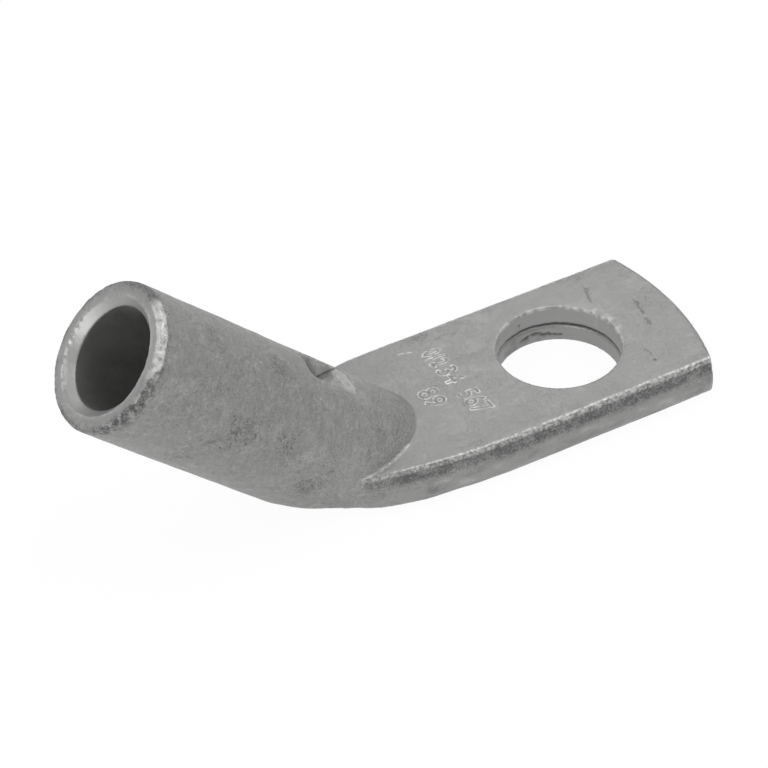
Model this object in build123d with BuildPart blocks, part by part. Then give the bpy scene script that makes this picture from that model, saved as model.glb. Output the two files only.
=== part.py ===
"""Tubular copper cable lug with its palm bent to 45 degrees.

The whole lug is one length of round tube. The barrel keeps the round section and
takes the stripped conductor. The other end is pressed flat into the palm, whose two
layers are the tube's two walls, folded round at both sides and closed on each other
along a fine seam. The origin is the centre of the stud hole on the underside of the
palm, +X runs along the palm to its tip and +Z is the axis of the stud.
"""
from build123d import *
from math import cos, pi, radians, sin, sqrt, tan
import os

# Tube
tube_diameter = 12.0
bore_diameter = 8.2

# Barrel
barrel_length = 29.0
full_bore_length = 16.9
bore_narrowing = 1.0
palm_angle = 45.0
outer_bend_radius = 12.0
mouth_rounding = 0.45
mouth_chamfer = 0.65

# Palm
palm_thickness = 3.65
palm_width = 17.2
palm_flat_width = 15.1
palm_edge_rounding = 0.35
crease_to_hole = 14.1
stud_hole_diameter = 10.5
hole_to_tip = 11.2
tip_radius = 25.0

# Flare between barrel and palm, on the two sides of the pressing
flare_near = 13.7
flare_far = 7.0
ridge_setback = 0.9
fold_at_ridge = 0.12
sole_inset = 0.75
sole_fade = 5

# Room between the press dies, where the lower half of the barrel runs into the palm
die_side_room = 0.4
die_flat_at_barrel = 0.2
die_flat_growth = 2.5
die_corner_depth = 4.2

# Seam between the two pressed walls
seam_height = 1.6
seam_gap = 0.08

# Sight hole through the top wall of the barrel
sight_hole_length = 5.6
sight_hole_width = 3.8
sight_hole_corner = 0.8
mouth_to_sight_hole = 16.2

# Allowances and step counts that only serve the cutting and lofting
reach = 6.0
press_margin = 0.15
room_lean = 0.8
die_steps = 4
flare_steps = 10
seam_steps = 4

# Values that follow from the sizes above
tube_radius = tube_diameter / 2
bore_radius = bore_diameter / 2
wall = tube_radius - bore_radius
bend = radians(palm_angle)
slope = tan(bend)
toward_mouth = Vector(-cos(bend), 0, sin(bend))
outward_on_top = Vector(sin(bend), 0, cos(bend))
crease = Vector(-crease_to_hole, 0, palm_thickness)
axis_under_crease = crease - outward_on_top * tube_radius
mouth_centre = axis_under_crease + toward_mouth * barrel_length
mouth_plane = Plane(origin=mouth_centre, x_dir=(0, 1, 0), z_dir=toward_mouth)
heel_x = -crease_to_hole - 2 * tube_radius / sin(bend) + palm_thickness / slope
bend_start_x = heel_x - outer_bend_radius * tan(bend / 2) * cos(bend)
bend_end_x = heel_x + outer_bend_radius * tan(bend / 2)
ridge_x = -crease_to_hole - tube_radius / sin(bend) + ridge_setback
flare_end_x = ridge_x + flare_near
tip_centre_x = hole_to_tip - tip_radius


def half_flat(x, flare_length):
    """Half width of the palm's flat at x: the tube's radius at the ridge, widening to the full flat."""
    share = min((x - ridge_x) / flare_length, 1.0)
    widened = 1 - (1 - share) ** 2
    return tube_radius + (palm_flat_width / 2 - tube_radius) * widened


def half_fold(x, flare_length):
    """Half width over the folded edge at half the palm's thickness."""
    share = min(max((x - ridge_x) / flare_length, 0.0), 1.0)
    full_bulge = (palm_width - palm_flat_width) / 2
    grown = fold_at_ridge + (1 - fold_at_ridge) * share * (2 - share)
    return half_flat(x, flare_length) + full_bulge * grown


def half_sole(x, flare_length):
    """Half width of the flat underside, narrower than the top where the tube is still round."""
    share = min((x - ridge_x) / flare_length, 1.0)
    return half_flat(x, flare_length) - sole_inset * (1 - share) ** sole_fade


def half_seam(share):
    """Half width of the seam, from the round bore at share 0 to the bore's wall laid flat at 1."""
    return bore_radius + (pi * bore_radius / 2 - bore_radius) * share * (2 - share)


def underside(x):
    """Height of the tube's lowest line at x: the barrel's slope, the bend's arc, then the flat."""
    if x >= bend_end_x:
        return 0.0
    if x <= bend_start_x:
        return (heel_x - x) * slope
    return outer_bend_radius - sqrt(outer_bend_radius**2 - (x - bend_end_x) ** 2)


def room_above_bend(corner_x, floor, radius):
    """Draws, in the lug's side view, the room above a floor that bends up along the barrel."""
    tangent = radius * tan(bend / 2)
    with BuildSketch(Plane.XZ) as room:
        with BuildLine():
            start = Vector(corner_x - tangent * cos(bend), floor + tangent * sin(bend))
            end = Vector(corner_x + tangent, floor)
            half_turn = Vector(end.X - radius * sin(bend / 2), floor + radius * (1 - cos(bend / 2)))
            lean = room_lean * bend
            clear_of_barrel = start + Vector(-cos(lean), sin(lean)) * barrel_length
            high = 2 * barrel_length
            ThreePointArc(start, half_turn, end)
            Polyline(
                end,
                (hole_to_tip + reach, floor),
                (hole_to_tip + reach, high),
                (clear_of_barrel.X, high),
                clear_of_barrel,
                start,
            )
        make_face()
    return room.sketch


def palm_section(x):
    """Draws the flattened tube's outline across the palm at x, as a closed sketch."""
    with BuildSketch(Plane.YZ.offset(x)) as section:
        with BuildLine():
            top_near = (-half_flat(x, flare_near), palm_thickness)
            top_far = (half_flat(x, flare_far), palm_thickness)
            fold_near = (-half_fold(x, flare_near), palm_thickness / 2)
            fold_far = (half_fold(x, flare_far), palm_thickness / 2)
            sole_near = (press_margin - half_sole(x, flare_near), -press_margin)
            sole_far = (half_sole(x, flare_far) - press_margin, -press_margin)
            Line(sole_near, sole_far)
            ThreePointArc(sole_far, fold_far, top_far)
            Line(top_far, top_near)
            ThreePointArc(top_near, fold_near, sole_near)
        make_face()
        fillet(section.vertices().group_by(Axis.Z)[-1], palm_edge_rounding)
    return section.sketch


def press_section(x, flattened):
    """Draws the room between the press dies across the barrel at x; flattened goes from 0 to 1."""
    half = tube_radius + die_side_room
    flat = die_flat_at_barrel + die_flat_growth * flattened
    depth = half / sin(bend) * (1 - flattened) + die_corner_depth * flattened
    low = underside(x) - press_margin
    with BuildSketch(Plane.YZ.offset(x)) as section:
        with BuildLine():
            Line((-flat, low), (flat, low))
            EllipticalCenterArc((flat, low + depth), half - flat, depth, start_angle=270, arc_size=90)
            Polyline(
                (half, low + depth),
                (half, barrel_length + reach),
                (-half, barrel_length + reach),
                (-half, low + depth),
            )
            EllipticalCenterArc((-flat, low + depth), half - flat, depth, start_angle=180, arc_size=90)
        make_face()
    return section.sketch


# Room between the dies, from the round barrel through the bend to the palm
with BuildPart() as press:
    for step in range(-2, 2 * die_steps + 2):
        share = min(max(step / die_steps, 0.0), 1.0)
        x = bend_start_x + (bend_end_x - bend_start_x) * step / die_steps
        add(press_section(x, share**2 * (3 - 2 * share)))
    loft()

# Lower half of the barrel, taken down to what the dies leave
with BuildPart() as neck:
    with BuildSketch(mouth_plane.offset(-barrel_length / 2)):
        Circle(tube_radius)
    extrude(amount=-(barrel_length / 2 + 2 * reach))
    add(press.part, mode=Mode.INTERSECT)

# Round barrel, open at the mouth
with BuildPart() as barrel:
    with BuildSketch(mouth_plane):
        Circle(tube_radius)
    extrude(amount=-barrel_length / 2)
    mouth_edge = barrel.edges().sort_by(Axis.Z)[-1]
    fillet(mouth_edge, mouth_rounding)
    add(neck.part)

# Palm, pressed flat with folded sides, and its flare into the barrel
with BuildPart() as palm:
    for step in range(-1, flare_steps + 1):
        add(palm_section(ridge_x + flare_near * step / flare_steps))
    loft()
    extrude(palm_section(flare_end_x), amount=hole_to_tip - flare_end_x + reach)

# Bore, coned at the mouth, full size for the conductor, then narrowing down to the seam
with BuildPart() as bore:
    with BuildSketch(mouth_plane):
        Circle(bore_radius)
    extrude(amount=-full_bore_length)
    with BuildSketch(mouth_plane.offset(-full_bore_length)):
        Circle(bore_radius)
    extrude(amount=-(barrel_length + 2 * reach - full_bore_length), taper=bore_narrowing)
    with BuildSketch(mouth_plane):
        Circle(bore_radius + mouth_chamfer)
    extrude(amount=-mouth_chamfer, taper=45)
    bore_floor = axis_under_crease - outward_on_top * bore_radius
    bore_corner_x = bore_floor.X + (bore_floor.Z - seam_height) / slope
    bore_room = room_above_bend(bore_corner_x, seam_height, outer_bend_radius - wall)
    extrude(bore_room, amount=tube_radius, both=True, mode=Mode.INTERSECT)

# Fine gap between the two pressed walls, open at the stud hole and the tip
with BuildPart() as seam:
    with BuildSketch(Plane.XY.offset(seam_height)):
        with BuildLine():
            shares = [step / seam_steps for step in range(seam_steps + 1)]
            near = [(ridge_x + flare_near * share, -half_seam(share)) for share in shares]
            far = [(ridge_x + flare_far * share, half_seam(share)) for share in shares]
            tip_near = (hole_to_tip + reach, -half_seam(1))
            tip_far = (hole_to_tip + reach, half_seam(1))
            Spline(*near)
            Polyline(near[-1], tip_near, tip_far, far[-1])
            Spline(*far)
            Line(far[0], near[0])
        make_face()
    extrude(amount=seam_gap)

# Room above the bottom die: the flat under the palm and the bend up to the barrel
with BuildPart() as die:
    extrude(room_above_bend(heel_x, 0, outer_bend_radius), amount=palm_width, both=True)

# Outline that the tip is sheared to
with BuildPart() as sheared:
    with BuildSketch(Plane.XY.offset(-reach)):
        with BuildLine():
            corner_x = tip_centre_x + sqrt(tip_radius**2 - palm_width**2 / 4)
            ThreePointArc((corner_x, -palm_width / 2), (hole_to_tip, 0), (corner_x, palm_width / 2))
            Polyline(
                (corner_x, palm_width / 2),
                (corner_x, palm_width),
                (-3 * barrel_length, palm_width),
                (-3 * barrel_length, -palm_width),
                (corner_x, -palm_width),
                (corner_x, -palm_width / 2),
            )
        make_face()
    extrude(amount=2 * barrel_length)

# The lug: one piece of tube, with its bore, seam, stud hole and sight hole
with BuildPart() as cable_lug:
    add(barrel.part)
    add(palm.part)
    add(die.part, mode=Mode.INTERSECT)
    add(sheared.part, mode=Mode.INTERSECT)
    add(bore.part, mode=Mode.SUBTRACT)
    add(seam.part, mode=Mode.SUBTRACT)
    Cylinder(stud_hole_diameter / 2, 4 * palm_thickness, mode=Mode.SUBTRACT)
    sight_hole_centre = (
        mouth_centre
        - toward_mouth * (mouth_to_sight_hole + sight_hole_length / 2)
        + outward_on_top * 2 * tube_radius
    )
    with BuildSketch(Plane(origin=sight_hole_centre, x_dir=toward_mouth, z_dir=outward_on_top)):
        RectangleRounded(sight_hole_length, sight_hole_width, sight_hole_corner)
    extrude(amount=-2 * tube_radius, mode=Mode.SUBTRACT)

cable_lug.part.label = "cable_lug"
os.makedirs("parts", exist_ok=True)
export_step(cable_lug.part, "parts/cable_lug.step")
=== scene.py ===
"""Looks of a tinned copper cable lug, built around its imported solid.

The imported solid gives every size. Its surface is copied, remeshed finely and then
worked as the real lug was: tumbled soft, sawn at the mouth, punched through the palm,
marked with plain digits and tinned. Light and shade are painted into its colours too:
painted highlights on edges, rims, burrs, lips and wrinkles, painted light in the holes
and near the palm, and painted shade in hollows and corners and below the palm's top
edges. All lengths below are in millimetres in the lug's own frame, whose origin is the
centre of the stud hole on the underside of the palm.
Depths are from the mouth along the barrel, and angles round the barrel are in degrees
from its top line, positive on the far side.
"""

import logging
import math
from collections.abc import Iterable
from dataclasses import dataclass
from enum import Enum

import bmesh
import bpy
import numpy as np
from bmesh.types import BMesh, BMVert
from bpy.types import ID, Material, Mesh, Node, NodeSocket, Object, World
from mathutils import Matrix, Vector, noise
from mathutils.kdtree import KDTree


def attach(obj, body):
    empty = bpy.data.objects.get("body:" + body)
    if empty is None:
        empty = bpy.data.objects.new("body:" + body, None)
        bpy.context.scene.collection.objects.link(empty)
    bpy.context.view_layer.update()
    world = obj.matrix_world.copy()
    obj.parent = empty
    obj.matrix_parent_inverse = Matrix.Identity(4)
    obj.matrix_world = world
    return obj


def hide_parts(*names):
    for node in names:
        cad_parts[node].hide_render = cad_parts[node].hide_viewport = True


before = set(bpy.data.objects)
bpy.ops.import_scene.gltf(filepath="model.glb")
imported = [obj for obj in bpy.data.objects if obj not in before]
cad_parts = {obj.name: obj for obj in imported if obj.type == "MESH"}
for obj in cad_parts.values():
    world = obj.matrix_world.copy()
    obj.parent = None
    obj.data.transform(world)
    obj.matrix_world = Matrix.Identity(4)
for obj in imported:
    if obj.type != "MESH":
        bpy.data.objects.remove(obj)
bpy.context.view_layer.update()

log = logging.getLogger("cable_lug")
MILLIMETRE = 0.001
EFFECTS = ("bright", "dirt_and_shade", "coarse", "barrel")


class Surface(Enum):
    """The differently worked surfaces of the lug, in the order of its material slots."""

    OUTSIDE = 0
    BORE = 1
    CUT = 2


@dataclass(frozen=True)
class LugSizes:
    """Sizes of the lug that the surface work is placed by.

    Args:
        tube_radius: outer radius of the barrel.
        bore_radius: radius of the bore.
        palm_thickness: height of the palm's top over its underside.
        stud_radius: radius of the stud hole.
        seam_height: height of the seam between the two pressed walls.
        tip_radius: radius of the sheared tip's arc.
        hole_to_tip: distance from the stud hole's centre to the tip.
        palm_flat_width: width of the palm's flat top.
        ridge_x: where the palm starts to widen out of the barrel.
        flare_near: length of that widening on the near side.
        flare_far: its length on the far side.
        bend_start_x: where the underside's bend leaves the barrel.
        bend_end_x: where it runs into the flat.
        bend_radius: radius of the bend.
        mouth: centre of the barrel's mouth.
        toward_mouth: direction of the barrel's axis, out of the mouth.
    """

    tube_radius: float = 6.0
    bore_radius: float = 4.1
    palm_thickness: float = 3.65
    stud_radius: float = 5.25
    seam_height: float = 1.64
    tip_radius: float = 25.0
    hole_to_tip: float = 11.2
    palm_flat_width: float = 15.1
    ridge_x: float = -21.685
    flare_near: float = 13.7
    flare_far: float = 7.0
    bend_start_x: float = -30.935
    bend_end_x: float = -22.450
    bend_radius: float = 12.0
    mouth: Vector = Vector((-38.849, 0.0, 19.913))
    toward_mouth: Vector = Vector((-math.sqrt(0.5), 0.0, math.sqrt(0.5)))

    def barrel_coordinates(self, points: np.ndarray) -> tuple[np.ndarray, np.ndarray, np.ndarray]:
        """Finds where points lie on the barrel.

        Args:
            points: rows of x, y, z.

        Returns:
            Depth in from the mouth, distance from the axis, and angle from the top line
            in radians, positive on the far side.
        """
        axis = np.array(self.toward_mouth)
        upward = np.array((axis[2], 0.0, -axis[0]))
        offset = points - np.array(self.mouth)
        depth = -offset @ axis
        height = offset @ upward
        return depth, np.hypot(offset[:, 1], height), np.arctan2(offset[:, 1], height)

    def half_flat(self, x: np.ndarray, y: np.ndarray) -> np.ndarray:
        """Gives half the palm's flat width at x, on the side that y is on."""
        flare = np.where(y < 0, self.flare_near, self.flare_far)
        share = np.clip((x - self.ridge_x) / flare, 0, 1)
        widening = self.palm_flat_width / 2 - self.tube_radius
        return self.tube_radius + widening * share * (2 - share)

    def underside(self, x: np.ndarray) -> np.ndarray:
        """Gives the height of the lug's lowest line at x, from the barrel to the flat."""
        back = np.clip(self.bend_end_x - x, 0.0, self.bend_end_x - self.bend_start_x)
        rise = self.bend_radius - np.sqrt(self.bend_radius ** 2 - back ** 2)
        return rise + np.clip(self.bend_start_x - x, 0.0, None)


@dataclass(frozen=True)
class StampRun:
    """One run of plain digits, pressed into the top of the palm.

    Args:
        digits: the digits.
        start_y: where the run starts, on the far side; it reads towards the near side.
        end_y: where it ends.
        base_x: the foot of the digits; their heads point to the stud hole.
        height: height of the digits.
        lean: how far the run's end is shifted along x.
    """

    digits: str
    start_y: float
    end_y: float
    base_x: float
    height: float
    lean: float = 0.0

    def box(self, margin: float) -> tuple[float, float, float, float]:
        """Gives low x, high x, low y and high y round the run, with a margin."""
        high_x = self.base_x + self.height + self.lean
        return self.base_x - margin, high_x + margin, self.end_y - margin, self.start_y + margin


def add_object(name: str, data: ID) -> Object:
    """Makes an object and puts it into the scene."""
    made = bpy.data.objects.new(name, data)
    bpy.context.scene.collection.objects.link(made)
    return made


def take_mesh(holder: Object) -> Mesh:
    """Gives an object's evaluated mesh and removes the object."""
    graph = bpy.context.evaluated_depsgraph_get()
    mesh = bpy.data.meshes.new_from_object(holder.evaluated_get(graph))
    bpy.data.objects.remove(holder)
    return mesh


def smooth(work: BMesh, verts: Iterable, factor: float = 0.5) -> None:
    """Moves vertices part of the way to the middle of their neighbours."""
    bmesh.ops.smooth_vert(work, verts=verts, factor=factor,
                          use_axis_x=True, use_axis_y=True, use_axis_z=True)


def smooth_step(low: float, high: float, value: np.ndarray) -> np.ndarray:
    """Eases from 0 at low to 1 at high."""
    share = np.clip((value - low) / (high - low), 0.0, 1.0)
    return share * share * (3 - 2 * share)


def turbulence(points: np.ndarray, size: float, octaves: int, offset: float = 0.0) -> np.ndarray:
    """Samples seeded fractal noise at points.

    Args:
        points: rows of x, y, z in millimetres.
        size: size of the largest lumps in millimetres.
        octaves: number of finer layers.
        offset: shift that gives an independent pattern.

    Returns:
        One value for each point, about -1 to 1.
    """
    shifted = points / size + offset
    return np.array([noise.fractal(Vector(p), 0.8, 2.1, octaves) for p in shifted])


def distance_to_segments(points: np.ndarray, segments: Iterable) -> np.ndarray:
    """Measures how far points are from the nearest of some segments.

    Args:
        points: rows of x, y or of x, y, z.
        segments: pairs of a start and an end.

    Returns:
        One distance for each point.
    """
    nearest = np.full(len(points), np.inf)
    for start, end in segments:
        step = np.subtract(end, start)
        gap = points - start
        share = np.clip(gap @ step / (step @ step + 1e-12), 0.0, 1.0)
        nearest = np.minimum(nearest, ((gap - share[:, None] * step) ** 2).sum(1))
    return np.sqrt(nearest)


def inside_faces(points: np.ndarray, faces: list[np.ndarray]) -> np.ndarray:
    """Says which flat points lie in any of some convex faces.

    Args:
        points: rows of x, y.
        faces: each face's corners as rows of x, y.

    Returns:
        True or False for each point.
    """
    found = np.zeros(len(points), bool)
    for corners in faces:
        sides = []
        for start, end in zip(corners, np.roll(corners, -1, axis=0)):
            step, gap = end - start, points - start
            sides.append(step[0] * gap[:, 1] - step[1] * gap[:, 0])
        found |= (np.min(sides, 0) >= 0) | (np.max(sides, 0) <= 0)
    return found


class Skin:
    """The lug's surface as arrays, with what each feature does to it.

    Args:
        work: the mesh, in millimetres.
        sizes: the lug's sizes.
    """

    def __init__(self, work: BMesh, sizes: LugSizes) -> None:
        """Reads the mesh and clears every effect."""
        work.normal_update()
        self.sizes = sizes
        self.points = np.array([v.co for v in work.verts])
        self.normals = np.array([v.normal for v in work.verts])
        self.depth, self.radius, angle = sizes.barrel_coordinates(self.points)
        self.degrees = np.degrees(angle)
        self.upright = self.radius * np.cos(angle)
        self.past_stud = np.hypot(self.points[:, 0], self.points[:, 1]) - sizes.stud_radius
        count = len(self.points)
        self.lift = np.zeros(count)
        self.move = np.zeros((count, 3))
        self.effects = {name: np.zeros(count) for name in EFFECTS}

    def add(self, effect: str, amount: np.ndarray,
            chosen: np.ndarray | slice = slice(None)) -> None:
        """Raises an effect to at least an amount, at the chosen points or at all of them."""
        values = self.effects[effect]
        values[chosen] = np.maximum(values[chosen], amount)

    def noise(self, size: float, octaves: int, offset: float) -> np.ndarray:
        """Samples fractal noise at every point."""
        return turbulence(self.points, size, octaves, offset)

    def apply(self, work: BMesh) -> None:
        """Moves the mesh's vertices and stores the effects for the materials."""
        moved = self.points + self.move + self.normals * self.lift[:, None]
        moved[:, 2] = np.maximum(moved[:, 2], 0.0)
        for vert, co in zip(work.verts, moved):
            vert.co = co
        for name, values in self.effects.items():
            layer = work.verts.layers.float.new(name)
            for vert, value in zip(work.verts, values):
                vert[layer] = float(value)


class Feature:
    """Something that was done to the lug, which works a part of its skin.

    Its finest flag says that its region is divided twice, not once.
    """

    finest = False

    def region(self, skin: Skin) -> np.ndarray:
        """Marks the points that need a finer mesh for this feature."""
        return np.zeros(len(skin.points), bool)

    def work(self, skin: Skin) -> None:
        """Adds this feature's shape and effects to the skin."""
        raise NotImplementedError


@dataclass
class Tumbling(Feature):
    """Soft dents and ripples all over, strongest on the barrel.

    Args:
        dent: depth of the wide dents.
        ripple: depth of the small ripples.
    """

    dent: float = 0.035
    ripple: float = 0.02

    def work(self, skin: Skin) -> None:
        """Adds dents, ripples, the mask of the barrel and painted light on the barrel towards the
        palm.
        """
        along = smooth_step(31, 26, skin.depth)
        outer = smooth_step(4.9, 5.3, skin.radius) * smooth_step(7.5, 6.8, skin.radius)
        barrel = along * outer * smooth_step(0.95, 0.85, skin.normals[:, 2])
        skin.lift += self.dent * skin.noise(5.0, 2, 0.0) * (0.3 + 0.7 * barrel)
        skin.lift += self.ripple * skin.noise(1.3, 3, 7.3) * (0.15 + 0.85 * barrel)
        skin.add("barrel", barrel)
        # Painted light: the barrel is painted lighter towards the palm, standing in for light
        # that the palm keeps off it.
        pressed = smooth_step(13, 24, skin.depth) * smooth_step(120, 80, np.abs(skin.degrees))
        skin.add("bright", 0.14 * barrel * pressed)


@dataclass
class MouthRim(Feature):
    """The sawn mouth: a rough ring, a near side painted bright from wear and a painted highlight,
    and a broken crust below it.

    Args:
        ring_roughness: depth of the saw's marks on the ring.
        crust_roughness: depth of the broken crust on the near lower side.
        burr: height of the burr between the cone and the ring.
        burr_width: width of the burr.
        cone_gleam: how bright the cone's lit side is.
    """

    ring_roughness: float = 0.03
    crust_roughness: float = 0.1
    burr: float = 0.07
    burr_width: float = 0.13
    cone_gleam: float = 0.23

    def region(self, skin: Skin) -> np.ndarray:
        """Marks the ring and the outer rim."""
        return (skin.depth < 0.95) & (skin.radius > 3.95)

    def work(self, skin: Skin) -> None:
        """Roughens the ring, breaks the crust, paints the near side bright from wear and a
        painted highlight, and paints highlights and shade on the crust, burr, cone and ring.
        """
        depth, radius, degrees = skin.depth, skin.radius, skin.degrees
        fine = skin.noise(0.45, 3, 3.1)
        medium = skin.noise(1.1, 3, 11.7)
        ring = smooth_step(0.7, 0.1, depth) * smooth_step(4.5, 4.9, radius)
        skin.lift += self.ring_roughness * (0.4 * fine + 0.6 * medium) * ring
        outer = smooth_step(5.2, 5.6, radius) * smooth_step(1.3, 0.5, depth)
        # The outer rim's near side is painted bright, partly from wear and partly as a painted
        # highlight.
        wear_and_highlight = smooth_step(-74, -62, degrees + 5 * fine) * smooth_step(-2, -14, degrees)
        band = smooth_step(5.3, 5.5, radius) * smooth_step(0.6, 0.48, depth + 0.1 * medium)
        skin.add("bright", band * wear_and_highlight * np.clip(1.0 + 1.1 * fine, 0, 1.25))
        crust = smooth_step(-60, -70, degrees) * smooth_step(-168, -112, degrees)
        crust = outer * np.clip(crust * (0.65 + 0.5 * medium), 0, 1)
        skin.lift += self.crust_roughness * (fine - 0.35) * crust
        skin.add("dirt_and_shade", 0.9 * crust * smooth_step(0.15, -0.35, fine))
        # Bright flecks on the crust: painted glints.
        skin.add("bright", 0.5 * crust * smooth_step(0.1, 0.6, fine))
        # The ring's outer edge is painted darker in patches.
        rim_dark_patches = 0.5 * smooth_step(-0.1, 0.5, medium)
        skin.add("dirt_and_shade", ring * smooth_step(5.3, 5.7, radius) * rim_dark_patches)
        # The burr between cone and ring is raised and painted bright as a painted highlight, most
        # on the left.
        lip = np.exp(-((radius - skin.sizes.bore_radius - 0.68) / self.burr_width) ** 2)
        lip *= smooth_step(0.4, 0.1, depth) * smooth_step(-0.25, 0.35, fine)
        left = smooth_step(70, 100, degrees) * smooth_step(175, 150, degrees)
        skin.lift += self.burr * lip * (0.3 + 0.7 * left)
        skin.add("bright", lip * (0.25 + 0.75 * left))
        # Painted highlight on the cone's lit side.
        cone = smooth_step(4.1, 4.2, radius) * smooth_step(4.8, 4.7, radius)
        facing = smooth_step(0.1, 0.7, np.cos(np.radians(degrees - 125)))
        skin.add("bright", self.cone_gleam * cone * facing * smooth_step(0.75, 0.6, depth))
        # Painted shade: the ring is darker away from the cone's lit side and the near side.
        skin.add("dirt_and_shade", 0.15 * ring * (1 - facing) * (1 - wear_and_highlight))
        skin.add("coarse", 0.8 * outer)


@dataclass
class SightHoleEnd(Feature):
    """The sight hole's end wall, which the pressing left leaning, and its cut walls, painted
    light, with a line of painted shade in the corner by the end wall.

    Args:
        start: depth from the mouth of the hole's first wall.
        end: depth of its end wall.
        half_width: half the hole's width.
        lean: how far the end wall leans towards the mouth, for each unit below the surface.
        lean_radius: distance from the barrel's axis at which the leaning starts.
    """

    start: float = 16.2
    end: float = 21.8
    half_width: float = 1.9
    lean: float = 0.55
    lean_radius: float = 5.97

    def region(self, skin: Skin) -> np.ndarray:
        """Marks the hole's walls and rim."""
        near = (skin.depth > self.start - 0.3) & (skin.depth < self.end + 0.3)
        near &= (np.abs(skin.points[:, 1]) < self.half_width + 0.4) & (skin.radius > 3.9)
        return near & (np.abs(skin.degrees) < 60)

    def work(self, skin: Skin) -> None:
        """Leans the end wall, paints the cut walls lighter as painted light, and paints a shade
        line into the corner between the end wall and the far wall.
        """
        depth, across = skin.depth, skin.points[:, 1]
        inside = (np.abs(across) < self.half_width + 0.1) & (skin.upright > 3.7)
        inside &= np.abs(skin.degrees) < 60
        at_end = smooth_step(self.end - 0.6, self.end - 0.1, depth) * (depth < self.end + 0.12)
        shift = self.lean * np.clip(self.lean_radius - skin.radius, 0.0, None) * at_end * inside
        skin.move += shift[:, None] * np.array(skin.sizes.toward_mouth)
        walls = inside & (skin.upright > 3.9) & (skin.radius < 5.95)
        walls &= (depth > self.start - 0.1) & (depth < self.end + 0.1)
        streaks = turbulence(skin.points * (1.0, 1.0, 0.3), 0.6, 2, 83.0)
        # The line called crack is painted shade in the corner between the leaning end wall and
        # the far wall.
        fold = depth - self.end + 0.1 + 0.7 * (6.0 - skin.upright)
        on_fold = walls * (across > self.half_width - 0.5) * (1 - at_end)
        crack = np.exp(-(fold / 0.1) ** 2) * on_fold
        # Painted light: the cut walls are painted light for the light gathered inside the hole.
        skin.add("bright", walls * np.clip(0.8 + 0.6 * streaks - 0.12 * at_end - 2 * crack, 0, 1))
        skin.add("dirt_and_shade", 0.9 * crack)


@dataclass
class StudHoleEdge(Feature):
    """The punched stud hole: its seam line, and the burr on its far rim, painted bright as a
    painted highlight along the rim.

    Args:
        groove: depth of the seam line.
        burr: height of the burr.
        line_width: width of the seam line and of the burr.
    """

    groove: float = 0.02
    burr: float = 0.02
    line_width: float = 0.08

    def region(self, skin: Skin) -> np.ndarray:
        """Marks the rim's burr and the seam line."""
        height = skin.points[:, 2]
        seam = (np.abs(skin.past_stud) < 0.25) & (np.abs(height - skin.sizes.seam_height) < 0.35)
        return seam | ((skin.past_stud < 0.7) & (height > 3.45))

    def work(self, skin: Skin) -> None:
        """Cuts the seam line, raises the burr and paints it bright as a painted highlight."""
        height, out = skin.points[:, 2], skin.past_stud
        turn = np.degrees(np.arctan2(skin.points[:, 1], skin.points[:, 0]))
        fine = skin.noise(0.5, 3, 21.0)
        wall = smooth_step(0.4, 0.2, np.abs(out))
        level = skin.sizes.seam_height + 0.1 * skin.noise(4.0, 1, 5.5)
        seam = np.exp(-((height - level) / self.line_width) ** 2) * wall
        skin.lift -= self.groove * seam
        skin.add("dirt_and_shade", 0.15 * seam)
        # Painted highlight along the far rim's edge, on the burr.
        ridge = np.exp(-((out - 0.03) / self.line_width) ** 2) * smooth_step(3.35, 3.55, height)
        ridge *= smooth_step(-50, 0, turn) * smooth_step(160, 110, turn)
        ridge *= smooth_step(-0.35, 0.4, fine)
        skin.lift += self.burr * ridge
        skin.add("bright", ridge)
        splash = smooth_step(25, 10, np.abs(turn - 12)) * smooth_step(0.9, 0.2, out)
        splash *= smooth_step(3.5, 3.6, height) * (out > 0)
        skin.add("bright", 0.45 * splash * smooth_step(0.0, 0.5, fine))
        # The lower part of the wall is painted darker in speckles on one side.
        lower = wall * smooth_step(1.5, 1.1, height) * smooth_step(40, 80, turn)
        skin.add("dirt_and_shade", 0.35 * lower * smooth_step(0.0, 0.6, skin.noise(0.9, 3, 40.0)))


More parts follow.
